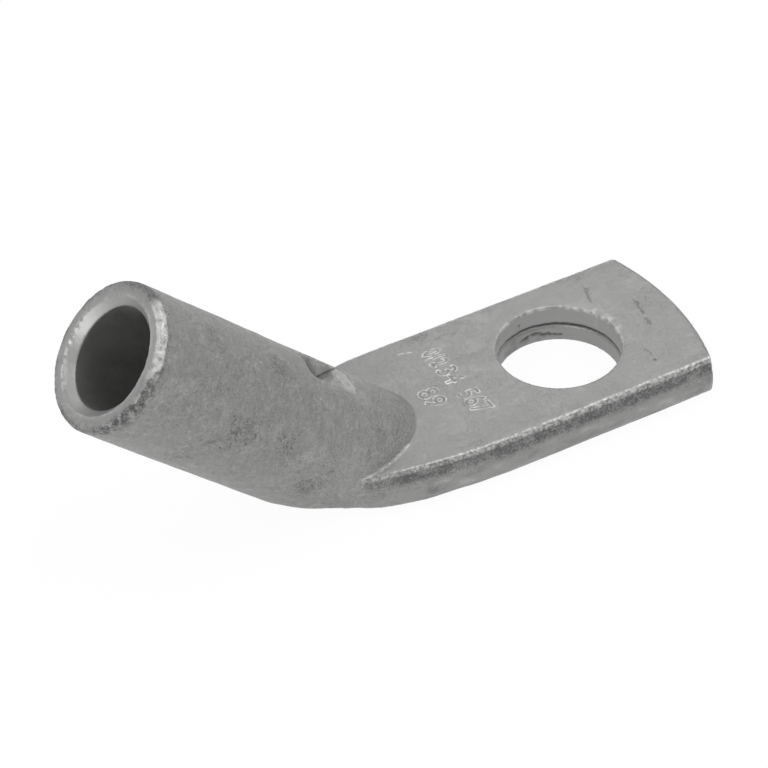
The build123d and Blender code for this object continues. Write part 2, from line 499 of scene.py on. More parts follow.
@dataclass
class PalmEdges(Feature):
    """The palm's folded sides: a painted highlight along the top edge, then coarse, with a band
    of painted shade just below.

    Args:
        fine_relief: depth of the finest roughness on the folds.
        streak_relief: depth of the streaks along them.
        top_relief: depth of the waves on the palm's top.
    """

    fine_relief: float = 0.01
    streak_relief: float = 0.03
    top_relief: float = 0.006

    def region(self, skin: Skin) -> np.ndarray:
        """Marks the near side's upper fold."""
        x, y, z = skin.points.T
        inside = skin.sizes.half_flat(x, y) - np.abs(y)
        return (y < 0) & (inside < 0.4) & (z > 2.7) & (z < 3.8) & (x > skin.sizes.ridge_x)

    def work(self, skin: Skin) -> None:
        """Roughens the folds, paints a highlight along their top edge and painted shade in a band
        below it, and gives the palm a little life.
        """
        x, y, z = skin.points.T
        across, up = np.abs(skin.normals[:, 1]), skin.normals[:, 2]
        inside = skin.sizes.half_flat(x, y) - np.abs(y)
        on_palm = smooth_step(-22.5, -20.8, x) * smooth_step(4.3, 3.8, z)
        fine = skin.noise(0.24, 3, 31.0)
        coarse = skin.noise(1.2, 2, 37.0)
        streaks = turbulence(skin.points * (0.5, 1.0, 1.6), 1.3, 3, 43.0)
        fold = on_palm * smooth_step(0.1, 0.3, across) * smooth_step(0.35, 0.1, inside)
        fold *= smooth_step(3.28, 3.42, z + 0.06 * fine)
        # Painted highlight along the fold's top edge.
        skin.add("bright", 0.85 * fold * np.clip(0.55 + fine, 0, 1))
        side = on_palm * smooth_step(0.45, 0.6, across) * smooth_step(0.4, 0.0, inside)
        band = side * smooth_step(2.5, 3.0, z + 0.35 * coarse)
        band *= smooth_step(3.42, 3.3, z + 0.1 * fine)
        # Painted shade: the dark band just below the top edge, where the side faces the dark
        # surround.
        skin.add("dirt_and_shade", band * np.clip(0.2 + 0.45 * fine, 0, 0.6))
        skin.add("dirt_and_shade", 0.3 * side * smooth_step(0.15, 0.75, streaks))
        skin.add("bright", 0.22 * side * smooth_step(-0.15, -0.75, streaks))
        skin.add("coarse", side * (0.3 + 0.7 * smooth_step(2.2, 2.9, z)))
        skin.lift += self.fine_relief * (1 + 2 * band) * fine * side
        skin.lift += self.streak_relief * streaks * side
        top = on_palm * smooth_step(0.9, 0.98, up) * (z > 3.5)
        toward_tip = smooth_step(5.0, 10.0, x) + smooth_step(1.6, 0.4, inside)
        patches = smooth_step(0.0, 0.7, skin.noise(2.6, 3, 47.0)) * smooth_step(-14.0, -11.0, x)
        skin.add("coarse", top * np.clip(0.2 * patches + 0.14 * toward_tip, 0, 0.35))
        skin.add("dirt_and_shade", 0.035 * top * toward_tip * smooth_step(0.25, 0.8, coarse))
        skin.lift += self.top_relief * coarse * top


@dataclass
class Stamp(Feature):
    """The digits pressed into the palm, as distances from the strokes' edges.

    Args:
        runs: the runs of digits.
        depth: depth of the groove.
        lip: height of the metal thrown up beside it.
        groove_slope: distance over which the groove reaches its depth.
        lip_width: width of the thrown-up metal.
        margin: how far round the digits the mesh is finer.
    """

    runs: tuple[StampRun, ...] = (
        StampRun("012", 5.15, 3.05, -10.25, 1.55),
        StampRun("34", 2.5, 0.55, -10.35, 1.75, 0.1),
        StampRun("567", -0.85, -3.75, -10.25, 1.8, 0.15),
        StampRun("89", 0.95, -1.25, -13.0, 1.75, 0.05),
    )
    depth: float = 0.065
    lip: float = 0.06
    groove_slope: float = 0.14
    lip_width: float = 0.13
    margin: float = 0.3

    finest = True

    def outline(self, run: StampRun) -> tuple[list, list[np.ndarray]]:
        """Traces a run's digits on the palm.

        Args:
            run: the run.

        Returns:
            The outlines' segments as pairs of ends, and the faces' corners.
        """
        curve = bpy.data.curves.new("stamp_text", "FONT")
        curve.body = run.digits
        curve.resolution_u = 3
        mesh = take_mesh(add_object("stamp_text", curve))
        work = bmesh.new()
        work.from_mesh(mesh)
        bmesh.ops.remove_doubles(work, verts=work.verts, dist=1e-5)
        flat = np.array([v.co[:2] for v in work.verts])
        low, high = flat.min(0), flat.max(0)
        along, up = ((flat - low) / (high - low)).T
        placed = np.column_stack((
            run.base_x + up * run.height + along * run.lean,
            run.start_y + along * (run.end_y - run.start_y),
        ))
        work.verts.index_update()
        edges = [e for e in work.edges if len(e.link_faces) == 1]
        segments = [placed[[v.index for v in e.verts]] for e in edges]
        faces = [placed[[v.index for v in f.verts]] for f in work.faces]
        work.free()
        bpy.data.meshes.remove(mesh)
        return segments, faces

    def region(self, skin: Skin) -> np.ndarray:
        """Marks the palm's top round the digits."""
        x, y, z = skin.points.T
        marked = np.zeros(len(skin.points), bool)
        for run in self.runs:
            low_x, high_x, low_y, high_y = run.box(self.margin)
            marked |= (x > low_x) & (x < high_x) & (y > low_y) & (y < high_y)
        return marked & (z > 3.5) & (z < 3.8)

    def work(self, skin: Skin) -> None:
        """Presses the digits unevenly, with metal thrown up beside the strokes and painted bright
        as a painted highlight.
        """
        chosen = np.nonzero(self.region(skin))[0]
        points = skin.points[chosen]
        lips, grooves = np.zeros(len(chosen)), np.zeros(len(chosen))
        for run in self.runs:
            segments, faces = self.outline(run)
            distance = distance_to_segments(points[:, :2], segments)
            within = inside_faces(points[:, :2], faces)
            crest = (distance - 0.35 * self.lip_width) / (0.5 * self.lip_width)
            grooves = np.maximum(grooves, within * np.minimum(distance / self.groove_slope, 1.0))
            lips = np.maximum(lips, ~within * np.exp(-crest ** 2))
        lips[grooves > 0] = 0.0
        struck = np.clip(0.7 + 0.7 * turbulence(points, 1.3, 3, 71.0), 0.15, 1.3)
        skin.lift[chosen] += (self.lip * lips - self.depth * grooves) * struck
        # The thrown-up lips are painted bright: a painted highlight on their crests.
        broken = smooth_step(-0.7, 0.15, turbulence(points, 0.5, 2, 75.0))
        skin.add("bright", 1.4 * lips * struck * broken, chosen)


@dataclass(frozen=True)
class Crack(Feature):
    """A hairline crack or scratch.

    Args:
        path: its points.
        width: its width.
        depth: its depth; a scratch that stands proud has a negative one.
        dirt_and_shade: how dark it is.
        bright: how bright its lips are.
        waver: how far a dirty one strays from its path.
    """

    path: tuple[tuple[float, float, float], ...]
    width: float = 0.05
    depth: float = 0.012
    dirt_and_shade: float = 0.55
    bright: float = 0.0
    waver: float = 0.16

    finest = True

    def distance(self, points: np.ndarray) -> np.ndarray:
        """Measures how far points are from the crack."""
        return distance_to_segments(points, zip(self.path, self.path[1:]))

    def region(self, skin: Skin) -> np.ndarray:
        """Marks the points close to the crack."""
        return self.distance(skin.points) < self.width + 0.22

    def work(self, skin: Skin) -> None:
        """Opens the crack, wavering and broken if it is a dirty one."""
        near = np.nonzero(self.distance(skin.points) < 1.0)[0]
        points = skin.points[near]
        distance, broken = self.distance(points), 1.0
        if self.dirt_and_shade > 0:
            distance = np.abs(distance + self.waver * turbulence(points, 0.6, 3, 51.0))
            broken = smooth_step(-1.2, -0.3, turbulence(points, 0.5, 2, 55.0))
        line = np.exp(-(distance / self.width) ** 2) * broken
        skin.lift[near] -= self.depth * line
        skin.add("dirt_and_shade", self.dirt_and_shade * line, near)
        skin.add("bright", self.bright * line, near)


@dataclass(frozen=True)
class Patch(Feature):
    """A round patch where the tin is pitted more than elsewhere.

    Args:
        centre: its centre.
        radius: its radius.
        dirt_and_shade: how dirty it is.
        relief: depth of its pits.
    """

    centre: tuple[float, float, float]
    radius: float
    dirt_and_shade: float = 0.5
    relief: float = 0.02

    def work(self, skin: Skin) -> None:
        """Coarsens and dirties the patch."""
        distance = np.linalg.norm(skin.points - self.centre, axis=1)
        near = np.nonzero(distance < self.radius)[0]
        share = smooth_step(self.radius, 0.2 * self.radius, distance[near])
        speckle = share * smooth_step(0.1, 0.9, turbulence(skin.points[near], 0.6, 3, 61.0))
        skin.add("coarse", 0.6 * share, near)
        skin.add("dirt_and_shade", 0.7 * self.dirt_and_shade * speckle, near)
        skin.lift[near] -= self.relief * speckle


def on_palm(*path: tuple[float, float]) -> tuple[tuple[float, float, float], ...]:
    """Lifts a flat path to the palm's top."""
    return tuple((x, y, LugSizes.palm_thickness) for x, y in path)


FEATURES: tuple[Feature, ...] = (
    Tumbling(),
    SightHoleEnd(),
    PalmEdges(),
    MouthRim(),
    StudHoleEdge(),
    Stamp(),
    # Cracks between the stud hole and the tip
    Crack(on_palm((5.77, 6.16), (5.83, 5.2), (5.44, 4.3), (5.29, 3.45))),
    Crack(on_palm((8.59, 2.37), (8.48, 1.34), (8.28, 0.0)), width=0.07),
    Crack(on_palm((8.07, -0.74), (8.01, -1.62)), width=0.08),
    Crack(on_palm((5.93, -3.99), (6.08, -4.53), (5.96, -5.65)), dirt_and_shade=0.9),
    # Bright scratches, a painted highlight along the crease and a faint crack on the rest of the
    # palm
    Crack(on_palm((-11.94, 6.06), (-11.45, 5.91)), depth=-0.02, dirt_and_shade=0.0, bright=0.9),
    Crack(on_palm((-11.21, 5.84), (-10.82, 5.68)), depth=-0.02, dirt_and_shade=0.0, bright=0.9),
    # Painted highlight: a raised bright line along the crease where the palm's top meets the
    # barrel
    Crack(
        on_palm((-21.49, -5.95), (-20.41, -5.8), (-19.19, -5.5), (-17.9, -5.0), (-16.5, -4.25)),
        width=0.12, depth=-0.02, dirt_and_shade=0.0, bright=0.8,
    ),
    Crack(on_palm((-8.48, 6.14), (-7.59, 6.37), (-6.46, 5.98)), depth=0.015, dirt_and_shade=0.3),
    # Cracks in the wall of the stud hole
    Crack(
        ((-0.72, 5.2, 0.7), (-0.05, 5.25, 0.87), (0.8, 5.19, 1.05), (1.5, 5.03, 0.74),
         (2.82, 4.43, 0.54)),
        width=0.1, depth=0.08, dirt_and_shade=0.9,
    ),
    Crack(((-0.1, 5.25, 0.72), (0.0, 5.25, 0.82)), width=0.2, depth=0.12, dirt_and_shade=1.0),
    Crack(((-0.8, 5.19, 2.5), (-0.78, 5.19, 2.55)), width=0.08, depth=0.05, dirt_and_shade=0.9),
    # Long crack on the barrel's near side
    Crack(
        ((-34.45, -5.78, 13.25), (-32.7, -6.0, 13.5), (-31.27, -5.95, 13.41),
         (-29.73, -5.7, 13.41)),
        width=0.12, depth=0.03, dirt_and_shade=0.35,
    ),
    Patch((-26.2, -5.8, 5.0), 2.2),
    Patch((-36.1, -4.8, 12.2), 1.8),
    Patch((-27.7, -6.0, 9.6), 2.6, 0.3),
    Patch((-31.3, -6.0, 13.0), 3.0, 0.25),
    Patch((-24.2, -6.0, 6.0), 1.6, 0.45),
    Patch((-26.0, -2.3, 14.9), 2.0, 0.2),
    Patch((-31.1, -2.5, 19.8), 2.2, 0.25),
    Patch((-18.8, -4.0, 6.2), 1.2, 0.15),
    Patch((-16.8, -2.8, 5.4), 1.5, 0.15),
    Patch((-15.9, -7.9, 1.6), 1.9, 0.4),
)


@dataclass
class LugBody:
    """The whole lug as one finely meshed piece.

    Args:
        sizes: the lug's sizes.
        features: what was done to its surface, in order.
        cell_depth: the remesh divides its cube this many times; the cells are about 0.25.
        cell_scale: the remesh's scale.
        sharp_degrees: angle from which an edge of the solid is kept sharp.
        edge_spacing: distance between the points that stand for a sharp edge.
        edge_reach: how close to a sharp edge a vertex is held while the rest are smoothed.
        relax_steps: number of smoothing passes over the remeshed surface.
        smallest_piece: fewer joined vertices than this are a crumb.
    """

    sizes: LugSizes = LugSizes()
    features: tuple[Feature, ...] = FEATURES
    cell_depth: int = 8
    cell_scale: float = 0.86
    sharp_degrees: float = 30.0
    edge_spacing: float = 0.03
    edge_reach: float = 0.09
    relax_steps: int = 2
    smallest_piece: int = 1000

    def build(self, node: Object) -> Object:
        """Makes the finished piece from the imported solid.

        Args:
            node: the solid's object.

        Returns:
            The new object, at the origin, in metres.
        """
        solid = self.merged_copy(node)
        edges = self.sharp_edges(solid)
        surface = self.remesh(solid)
        work = bmesh.new()
        work.from_mesh(surface)
        self.drop_crumbs(work)
        self.relax(work, edges)
        self.fill_neck(work)
        self.smooth_neck(work)
        self.refine(work)
        skin = Skin(work, self.sizes)
        for feature in self.features:
            feature.work(skin)
        skin.apply(work)
        self.paint_edges_and_hollows(work)
        self.sort_surfaces(work)
        bmesh.ops.scale(work, vec=(MILLIMETRE,) * 3, verts=work.verts)
        work.to_mesh(surface)
        work.free()
        surface.shade_smooth()
        return add_object("lug_body", surface)

    def merged_copy(self, node: Object) -> Mesh:
        """Copies the solid's surface as one merged mesh in millimetres."""
        mesh = node.data.copy()
        work = bmesh.new()
        work.from_mesh(mesh)
        bmesh.ops.remove_doubles(work, verts=work.verts, dist=1e-7)
        bmesh.ops.scale(work, vec=(1 / MILLIMETRE,) * 3, verts=work.verts)
        work.to_mesh(mesh)
        work.free()
        return mesh

    def sharp_edges(self, solid: Mesh) -> KDTree:
        """Samples the solid's sharp edges, apart from the seam's.

        Args:
            solid: the merged copy.

        Returns:
            A search tree of points along the edges.
        """
        work = bmesh.new()
        work.from_mesh(solid)
        samples = []
        for edge in work.edges:
            start, end = (vert.co for vert in edge.verts)
            in_seam = all(abs(co.z - self.sizes.seam_height) < 0.06 for co in (start, end))
            if in_seam or edge.calc_face_angle(0.0) < math.radians(self.sharp_degrees):
                continue
            steps = math.ceil(edge.calc_length() / self.edge_spacing)
            samples += [start.lerp(end, k / steps) for k in range(steps + 1)]
        tree = KDTree(len(samples))
        for index, sample in enumerate(samples):
            tree.insert(sample, index)
        tree.balance()
        work.free()
        return tree

    def remesh(self, solid: Mesh) -> Mesh:
        """Remeshes the solid's surface evenly, which also closes its seam."""
        rough = add_object("lug_rough", solid)
        cells = rough.modifiers.new("cells", "REMESH")
        cells.mode = "SHARP"
        cells.octree_depth = self.cell_depth
        cells.scale = self.cell_scale
        cells.sharpness = 1.0
        cells.use_remove_disconnected = True
        cells.threshold = 0.1
        surface = take_mesh(rough)
        surface.name = "lug_body"
        surface.materials.clear()
        return surface

    def drop_crumbs(self, work: BMesh) -> None:
        """Deletes loose crumbs that the remesh leaves inside the seam."""
        seen: set[int] = set()
        crumbs: list[BMVert] = []
        for start in work.verts:
            if start.index in seen:
                continue
            seen.add(start.index)
            island = [start]
            for vert in island:
                around = [edge.other_vert(vert) for edge in vert.link_edges]
                fresh = [other for other in around if other.index not in seen]
                seen.update(other.index for other in fresh)
                island += fresh
            if len(island) < self.smallest_piece:
                crumbs += island
        bmesh.ops.delete(work, geom=crumbs, context="VERTS")

    def relax(self, work: BMesh, edges: KDTree) -> None:
        """Smooths the surface between the sharp edges, then rounds everything very slightly.

        Args:
            work: the remeshed surface.
            edges: points along the sharp edges.
        """
        seam_room, wall_room = 0.45, 0.35
        free = [v for v in work.verts if edges.find(v.co)[2] > self.edge_reach]
        for _ in range(self.relax_steps):
            smooth(work, free)
        seam = [v for v in work.verts if abs(v.co.z - self.sizes.seam_height) < seam_room
                and abs(v.co.xy.length - self.sizes.stud_radius) < wall_room]
        for _ in range(self.relax_steps):
            smooth(work, seam)
        smooth(work, work.verts, factor=0.3)

    def fill_neck(self, work: BMesh) -> None:
        """Rounds the neck's lower corners out until they run into the palm's sides.

        Across the lug, the outline is a flat with an elliptical corner at each side. The
        flat's half width and the corner's depth change from the barrel to the ridge.
        """
        sizes = self.sizes
        half = sizes.tube_radius + 0.4
        barrel_flat, ridge_flat = 0.2, 3.0
        barrel_depth, ridge_depth = half * math.sqrt(2), 2.0
        innermost_reach, most_inward = 0.7, -0.3
        sole_widening = 0.17
        work.normal_update()
        points = np.array([v.co for v in work.verts])
        normals = np.array([v.normal for v in work.verts])
        x, y, z = points.T
        side = np.sign(y)
        share = smooth_step(sizes.bend_start_x, sizes.ridge_x + 0.3, x)
        flat = barrel_flat + (ridge_flat - barrel_flat) * share ** 2
        depth = barrel_depth * (1 - share) + ridge_depth * share
        centre_z = sizes.underside(x) + depth
        out, down = np.abs(y) - flat, centre_z - z
        reach = np.hypot(out / (half - flat), down / depth)
        outward = side * normals[:, 1] * out - normals[:, 2] * down
        chosen = (x > sizes.bend_start_x) & (x < sizes.ridge_x + 0.4) & (out > 0) & (down > 0)
        chosen &= (reach > innermost_reach) & (reach < 1.0)
        chosen &= outward > most_inward * np.hypot(out, down)
        moved = np.column_stack((x, side * (flat + out / reach), centre_z - down / reach))
        _, radius, _ = sizes.barrel_coordinates(moved)
        _, old_radius, _ = sizes.barrel_coordinates(points)
        room = np.clip((sizes.tube_radius - old_radius) / (radius - old_radius + 1e-9), 0, 1)
        kept_in = points + (moved - points) * room[:, None]
        moved = np.where((radius > sizes.tube_radius)[:, None], kept_in, moved)
        moved = np.where(chosen[:, None], moved, points)
        beside = smooth_step(sizes.ridge_x - 0.3, sizes.ridge_x + 0.6, x)
        beside *= smooth_step(-13.5, -17.0, x) * smooth_step(3.2, 0.8, z)
        beside *= smooth_step(4.2, 5.2, np.abs(y))
        moved[:, 1] += side * sole_widening * beside
        for vert, co in zip(work.verts, moved):
            vert.co = co

    def smooth_neck(self, work: BMesh) -> None:
        """Smooths the neck's lower corners, each pass a little shorter along the palm."""
        passes, longest, shorter = 8, 1.3, 0.15
        first_x = self.sizes.bend_end_x - 1.6
        highest_z, innermost_y, most_upward = 2.6, 3.4, 0.5
        for step in range(passes):
            last_x = self.sizes.ridge_x + longest - shorter * step
            near = [v for v in work.verts if first_x < v.co.x < last_x and v.co.z < highest_z
                    and abs(v.co.y) > innermost_y and v.normal.z < most_upward]
            smooth(work, near)

    def refine(self, work: BMesh) -> None:
        """Divides the mesh where features need it finer, and once more for the finest."""
        for twice in (False, True):
            skin = Skin(work, self.sizes)
            chosen = np.zeros(len(skin.points), bool)
            for feature in self.features:
                if feature.finest or not twice:
                    chosen |= feature.region(skin)
            work.verts.index_update()
            edges = [e for e in work.edges if all(chosen[v.index] for v in e.verts)]
            bmesh.ops.subdivide_edges(work, edges=edges, cuts=1, use_grid_fill=True)

    def paint_edges_and_hollows(self, work: BMesh) -> None:
        """Paints what stands proud brighter, as wear and painted highlight, and what lies low
        darker, as painted shade, by the mesh's curvature.
        """
        least_proud, brightest, least_sunk, darkest_hollow = 0.12, 0.55, 0.15, 0.4
        work.normal_update()
        bright = work.verts.layers.float["bright"]
        dirt_and_shade = work.verts.layers.float["dirt_and_shade"]
        for vert in work.verts:
            around = [e.other_vert(vert).co for e in vert.link_edges]
            middle = sum(around, Vector()) / len(around)
            reach = sum((co - vert.co).length for co in around) / len(around)
            bend = (vert.co - middle).dot(vert.normal) / max(reach, 1e-6)
            # Proud edges painted brighter, partly wear and partly painted highlight; hollows
            # painted darker as painted shade.
            vert[bright] = max(vert[bright], min((bend - least_proud) * 2.0, brightest))
            vert[dirt_and_shade] = max(vert[dirt_and_shade], min((-bend - least_sunk) * 1.5, darkest_hollow))

    def sort_surfaces(self, work: BMesh) -> None:
        """Gives each face the material slot of its surface."""
        sizes, margin, bore_margin = self.sizes, 0.1, 0.15
        cone_start, cone_end, cone_radius, bore_end_x = 0.6, 0.7, 5.0, -14.0
        hole_half_width, hole_bottom, hole_top, palm_rim = 2.6, 3.9, 5.93, 3.6
        centres = np.array([f.calc_center_median() for f in work.faces])
        x, y, z = centres.T
        depth, radius, angle = sizes.barrel_coordinates(centres)
        bore = (depth > cone_start) & (x < bore_end_x) & (z > sizes.seam_height - bore_margin)
        bore &= radius < sizes.bore_radius + bore_margin
        cut = (depth < margin) | ((depth < cone_end) & (radius < cone_radius))
        hole = (depth > SightHoleEnd.start - margin) & (depth < SightHoleEnd.end + margin)
        hole &= (np.abs(y) < hole_half_width) & (radius * np.cos(angle) > hole_bottom)
        cut |= hole & (radius < hole_top)
        cut |= (np.hypot(x, y) < sizes.stud_radius + margin) & (z < palm_rim)
        from_tip_centre = np.hypot(x - sizes.hole_to_tip + sizes.tip_radius, y)
        cut |= (from_tip_centre > sizes.tip_radius - margin) & (x > 0.0)
        for face, is_bore, is_cut in zip(work.faces, bore, cut):
            surface = Surface.CUT if is_cut else Surface.BORE if is_bore else Surface.OUTSIDE
            face.material_index = surface.value


class NodeTree:
    """A thin helper that adds nodes to a tree and links them.

    Args:
        tree: the material's, world's or group's node tree.
    """

    def __init__(self, tree: bpy.types.NodeTree) -> None:
        """Keeps the tree."""
        self.tree = tree

    @classmethod
    def cleared(cls, owner: Material | World) -> "NodeTree":
        """Clears the nodes of a material or world and gives their helper."""
        owner.use_nodes = True
        owner.node_tree.nodes.clear()
        return cls(owner.node_tree)

    def add(self, kind: str, inputs: dict | None = None, **settings: object) -> Node:
        """Adds a node.

        Args:
            kind: the node's type without its ShaderNode prefix.
            inputs: values or sockets by input name or number.
            settings: attributes to set before the inputs.

        Returns:
            The node.
        """
        node = self.tree.nodes.new("ShaderNode" + kind)
        for name, value in settings.items():
            setattr(node, name, value)
        for name, value in (inputs or {}).items():
            if isinstance(value, NodeSocket):
                self.tree.links.new(value, node.inputs[name])
            else:
                node.inputs[name].default_value = value
        return node

    def maths(self, operation: str, *values: object) -> NodeSocket:
        """Adds a Math node and returns its result."""
        return self.add("Math", dict(enumerate(values)), operation=operation).outputs[0]

    def times(self, first: object, second: object, plus: object = 0.0) -> NodeSocket:
        """Multiplies two values, adds a third and returns the result."""
        return self.maths("MULTIPLY_ADD", first, second, plus)

    def ramp(self, value: NodeSocket, low: float, high: float,
             to_low: float = 0.0, to_high: float = 1.0) -> NodeSocket:
        """Eases a value from to_low at low to to_high at high."""
        node = self.add("MapRange", {0: value, 1: low, 2: high, 3: to_low, 4: to_high},
                        interpolation_type="SMOOTHSTEP", clamp=True)
        return node.outputs[0]

    def noise(self, vector: NodeSocket, scale: float, detail: float,
              roughness: float, distortion: float = 0.0) -> NodeSocket:
        """Adds a Noise Texture and returns its factor."""
        node = self.add("TexNoise", {"Vector": vector, "Scale": scale, "Detail": detail,
                                     "Roughness": roughness, "Distortion": distortion})
        return node.outputs[0]

    def blend(self, factor: object, low: object, high: object,
              mode: str = "MIX") -> NodeSocket:
        """Mixes two colours by a factor held to 0 to 1 and returns the result."""
        node = self.add("Mix", {0: factor, 6: low, 7: high}, data_type="RGBA", blend_type=mode)
        return node.outputs[2]

    def group(self, group: bpy.types.NodeTree, *values: object) -> list[NodeSocket]:
        """Adds a node group with its inputs and returns its outputs."""
        return list(self.add("Group", dict(enumerate(values)), node_tree=group).outputs)


class EffectGroup(NodeTree):
    """A node group in the making, of masks worked out from a position in metres.

    Args:
        name: the group's name.
        amount: the default of its second input, or None if it has only the position.
    """

    def __init__(self, name: str, amount: float | None = None) -> None:
        """Makes the group and its inputs, and scales the position to millimetres."""
        super().__init__(bpy.data.node_groups.new(name, "ShaderNodeTree"))
        sockets = self.tree.interface
        sockets.new_socket("Position", in_out="INPUT", socket_type="NodeSocketVector")
        if amount is not None:
            socket = sockets.new_socket("Amount", in_out="INPUT", socket_type="NodeSocketFloat")
            socket.default_value = amount
        source = self.tree.nodes.new("NodeGroupInput")
        self.amount = source.outputs[1]
        scaled = {0: source.outputs[0], 3: 1 / MILLIMETRE}
        self.place = self.add("VectorMath", scaled, operation="SCALE").outputs[0]

    def cloud(self, scale: float, detail: float, roughness: float,
              distortion: float = 0.0) -> NodeSocket:
        """Adds a Noise Texture of the position in millimetres."""
        return self.noise(self.place, scale, detail, roughness, distortion)

    def finish(self, **results: NodeSocket) -> bpy.types.NodeTree:
        """Adds the group's outputs and gives the group."""
        for label in results:
            self.tree.interface.new_socket(label, in_out="OUTPUT", socket_type="NodeSocketFloat")
        sink = self.tree.nodes.new("NodeGroupOutput")
        for label, value in results.items():
            self.tree.links.new(value, sink.inputs[label])
        return self.tree


class Effects:
    """The surface effects that the lug's materials share, each built once."""

    def __init__(self) -> None:
        """Builds the groups."""
        self.mottle = self.make_mottle()
        self.wrinkles = self.make_wrinkles()
        self.pits = self.make_pits()
        self.scratches = self.make_scratches()
        self.peel = self.make_peel()

    def make_mottle(self) -> bpy.types.NodeTree:
        """Builds the cloudy variation of electroplated tin, from 0 to 1 about 0.5."""
        tree = EffectGroup("tin_mottle")
        coarse = tree.cloud(0.45, 3.0, 0.55, 0.3)
        fine = tree.cloud(2.4, 4.0, 0.6, 0.2)
        both = tree.times(fine, 0.55, tree.times(coarse, 0.45))
        return tree.finish(Mottle=both, Grain=tree.cloud(9.0, 2.0, 0.6))

    def make_wrinkles(self) -> bpy.types.NodeTree:
        """Builds worm-like wrinkles of drawn and tumbled metal, 1 on a wrinkle."""
        width = 0.035
        tree = EffectGroup("tin_wrinkles")
        level = tree.maths("SUBTRACT", tree.cloud(1.1, 2.0, 0.5, 1.6), 0.5)
        line = tree.ramp(tree.maths("ABSOLUTE", level), 0.0, width, 1.0, 0.0)
        patches = tree.ramp(tree.cloud(0.35, 2.0, 0.5), 0.42, 0.6)
        return tree.finish(Wrinkles=tree.times(line, patches))

    def make_pits(self) -> bpy.types.NodeTree:
        """Builds small dark pits in patches, 1 in a pit."""
        tree = EffectGroup("tin_pits", amount=0.5)
        level = tree.times(tree.cloud(0.5, 2.0, 0.5), 0.35, tree.cloud(6.5, 2.0, 0.65, 0.8))
        raised = tree.maths("SUBTRACT", level, tree.times(tree.amount, -0.3, 1.02))
        return tree.finish(Pits=tree.ramp(raised, 0.0, 0.06))

    def make_peel(self) -> bpy.types.NodeTree:
        """Builds the fine peel of tumbled and plated metal, as a height about 0.75."""
        tree = EffectGroup("tin_peel")
        fine = tree.cloud(4.0, 4.0, 0.7, 1.0)
        broad = tree.cloud(1.2, 2.0, 0.5, 0.6)
        return tree.finish(Height=tree.times(broad, 0.5, fine))

    def make_scratches(self) -> bpy.types.NodeTree:
        """Builds thin straight scratches in two directions, 1 on a scratch."""
        tree = EffectGroup("tin_scratches", amount=0.5)
        lines = []
        for turn, stretch in ((0.35, 14.0), (-0.9, 9.0)):
            mapped = tree.add("Mapping", {0: tree.place, 2: (0.0, 0.0, turn),
                                          3: (1.0 / stretch, 2.6, 0.3)})
            streak = tree.noise(mapped.outputs[0], 0.55, 1.0, 0.4, 0.1)
            lines.append(tree.ramp(streak, 0.70, 0.74))
        found = tree.maths("MAXIMUM", *lines)
        return tree.finish(Scratches=tree.times(found, tree.amount))


